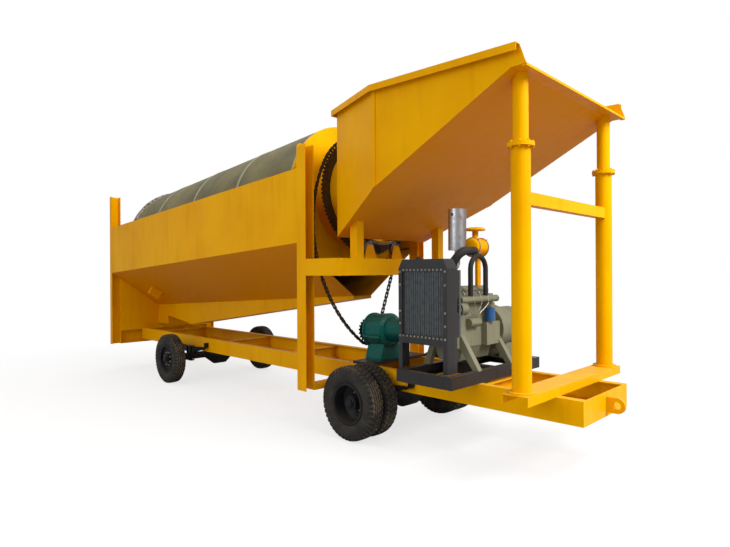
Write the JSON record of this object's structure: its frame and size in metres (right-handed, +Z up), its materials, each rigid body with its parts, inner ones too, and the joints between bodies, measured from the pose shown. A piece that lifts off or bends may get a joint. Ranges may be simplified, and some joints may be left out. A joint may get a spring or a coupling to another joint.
{
  "type": "mobile trommel screen",
  "caption": "Towed four-wheel chassis with a feed hopper, an inclined rotating drum screen, chain drive and an engine set.",
  "frame": {"origin": "on the ground at the middle of the machine's length and width", "axes": "+X forward to the tow eye, +Y left, +Z up"},
  "size_m": [8.49, 2.112, 3.5051],
  "materials": {
    "yellow_paint": "satin",
    "yellow_channel": "satin",
    "screen_steel": "dull",
    "worn_steel": "worn",
    "tyre": "matte",
    "rim_paint": "dusty",
    "axle_black": "satin",
    "chain_steel": "oiled",
    "gearbox_green": "satin",
    "skid_black": "satin",
    "engine_grey": "satin",
    "radiator_black": "matte",
    "hose_rubber": "matte",
    "bright_chrome": "polished"
  },
  "bodies": {
    "frame": {"air_cleaner": "yellow_paint", "chassis_beams": "yellow_paint", "chassis_crossmembers": "yellow_paint", "drawbar_plate": "yellow_paint", "drive_chain": "chain_steel", "engine": "engine_grey", "engine_skid": "skid_black", "feed_spout": "yellow_paint", "flume": "yellow_paint", "front_axle": "axle_black", "front_brace": "yellow_paint", "front_posts": "yellow_paint", "front_saddle": "yellow_paint", "gearbox": "gearbox_green", "gearbox_base": "skid_black", "hopper_back": "yellow_paint", "hopper_feet": "yellow_paint", "hopper_floor": "yellow_paint", "hopper_front_sides": "yellow_paint", "hopper_lip": "yellow_paint", "hopper_rear_sides": "yellow_paint", "hopper_rim": "yellow_paint", "intake_hoses": "hose_rubber", "leaf_springs": "axle_black", "mid_posts": "yellow_paint", "mid_sill": "yellow_paint", "muffler": "bright_chrome", "platform_arms": "yellow_paint", "platform_beam": "yellow_paint", "radiator": "radiator_black", "rear_axle": "axle_black", "rear_closing_sheet": "yellow_paint", "rear_posts": "yellow_paint", "rear_sill": "yellow_paint", "roller_beam": "yellow_paint", "roller_stands": "yellow_paint", "side_panels": "yellow_paint", "tail_chute": "yellow_paint", "trough_bulkhead": "yellow_paint", "trough_walls": "yellow_paint"},
    "drum": {"drum_screen": "screen_steel", "drum_head": "yellow_paint", "front_riding_ring": "worn_steel", "rear_riding_ring": "worn_steel", "chain_ring": "chain_steel", "drum_lifters": "screen_steel"},
    "front_wheels_left": {"front_tyres_left": "tyre", "front_rims_left": "rim_paint"},
    "front_wheels_right": {"front_tyres_right": "tyre", "front_rims_right": "rim_paint"},
    "rear_wheel_left": {"rear_tyre_left": "tyre", "rear_rim_left": "rim_paint"},
    "rear_wheel_right": {"rear_tyre_right": "tyre", "rear_rim_right": "rim_paint"},
    "drive_sprocket": {"drive_sprocket": "chain_steel"},
    "cooling_fan": {"cooling_fan": "radiator_black"},
    "front_roller_left": {"front_roller_left": "worn_steel"},
    "front_roller_right": {"front_roller_right": "worn_steel"},
    "rear_roller_left": {"rear_roller_left": "worn_steel"},
    "rear_roller_right": {"rear_roller_right": "worn_steel"}
  },
  "joints": [
    {"name": "drum_spin", "type": "hinge", "parent": "frame", "child": "drum", "pos_m": [0, 0, 2.5066], "axis": [0.9967, 0, 0.0807], "continuous": true},
    {"name": "front_wheels_left_spin", "type": "hinge", "parent": "frame", "child": "front_wheels_left", "pos_m": [1.893, 0.839, 0.3755], "axis": [0, 1, 0], "continuous": true},
    {"name": "front_wheels_right_spin", "type": "hinge", "parent": "frame", "child": "front_wheels_right", "pos_m": [1.893, -0.839, 0.3755], "axis": [0, 1, 0], "continuous": true},
    {"name": "rear_wheel_left_spin", "type": "hinge", "parent": "frame", "child": "rear_wheel_left", "pos_m": [-2.2, 0.839, 0.3755], "axis": [0, 1, 0], "continuous": true},
    {"name": "rear_wheel_right_spin", "type": "hinge", "parent": "frame", "child": "rear_wheel_right", "pos_m": [-2.2, -0.839, 0.3755], "axis": [0, 1, 0], "continuous": true},
    {"name": "front_roller_left_spin", "type": "hinge", "parent": "frame", "child": "front_roller_left", "pos_m": [1.52848, 0.22314, 1.9802], "axis": [0.9967, 0, 0.0807], "continuous": true},
    {"name": "front_roller_right_spin", "type": "hinge", "parent": "frame", "child": "front_roller_right", "pos_m": [1.52848, -0.22314, 1.9802], "axis": [0.9967, 0, 0.0807], "continuous": true},
    {"name": "rear_roller_left_spin", "type": "hinge", "parent": "frame", "child": "rear_roller_left", "pos_m": [-3.37963, 0.55575, 1.37432], "axis": [0.9967, 0, 0.0807], "continuous": true},
    {"name": "rear_roller_right_spin", "type": "hinge", "parent": "frame", "child": "rear_roller_right", "pos_m": [-3.37963, -0.55575, 1.37432], "axis": [0.9967, 0, 0.0807], "continuous": true},
    {"name": "drive_sprocket_spin", "type": "hinge", "parent": "frame", "child": "drive_sprocket", "pos_m": [1.41494, -0.12, 1.01595], "axis": [0.9967, 0, 0.0807], "continuous": true},
    {"name": "cooling_fan_spin", "type": "hinge", "parent": "frame", "child": "cooling_fan", "pos_m": [2.795, -0.61, 1.4], "axis": [0, 1, 0], "continuous": true}
  ],
  "couplings": [
    {"joint": "front_roller_left_spin", "follows": "drum_spin", "ratio": -8.1333},
    {"joint": "front_roller_right_spin", "follows": "drum_spin", "ratio": -8.1333},
    {"joint": "rear_roller_left_spin", "follows": "drum_spin", "ratio": -12.6},
    {"joint": "rear_roller_right_spin", "follows": "drum_spin", "ratio": -12.6},
    {"joint": "drive_sprocket_spin", "follows": "drum_spin", "ratio": 4.5}
  ]
}
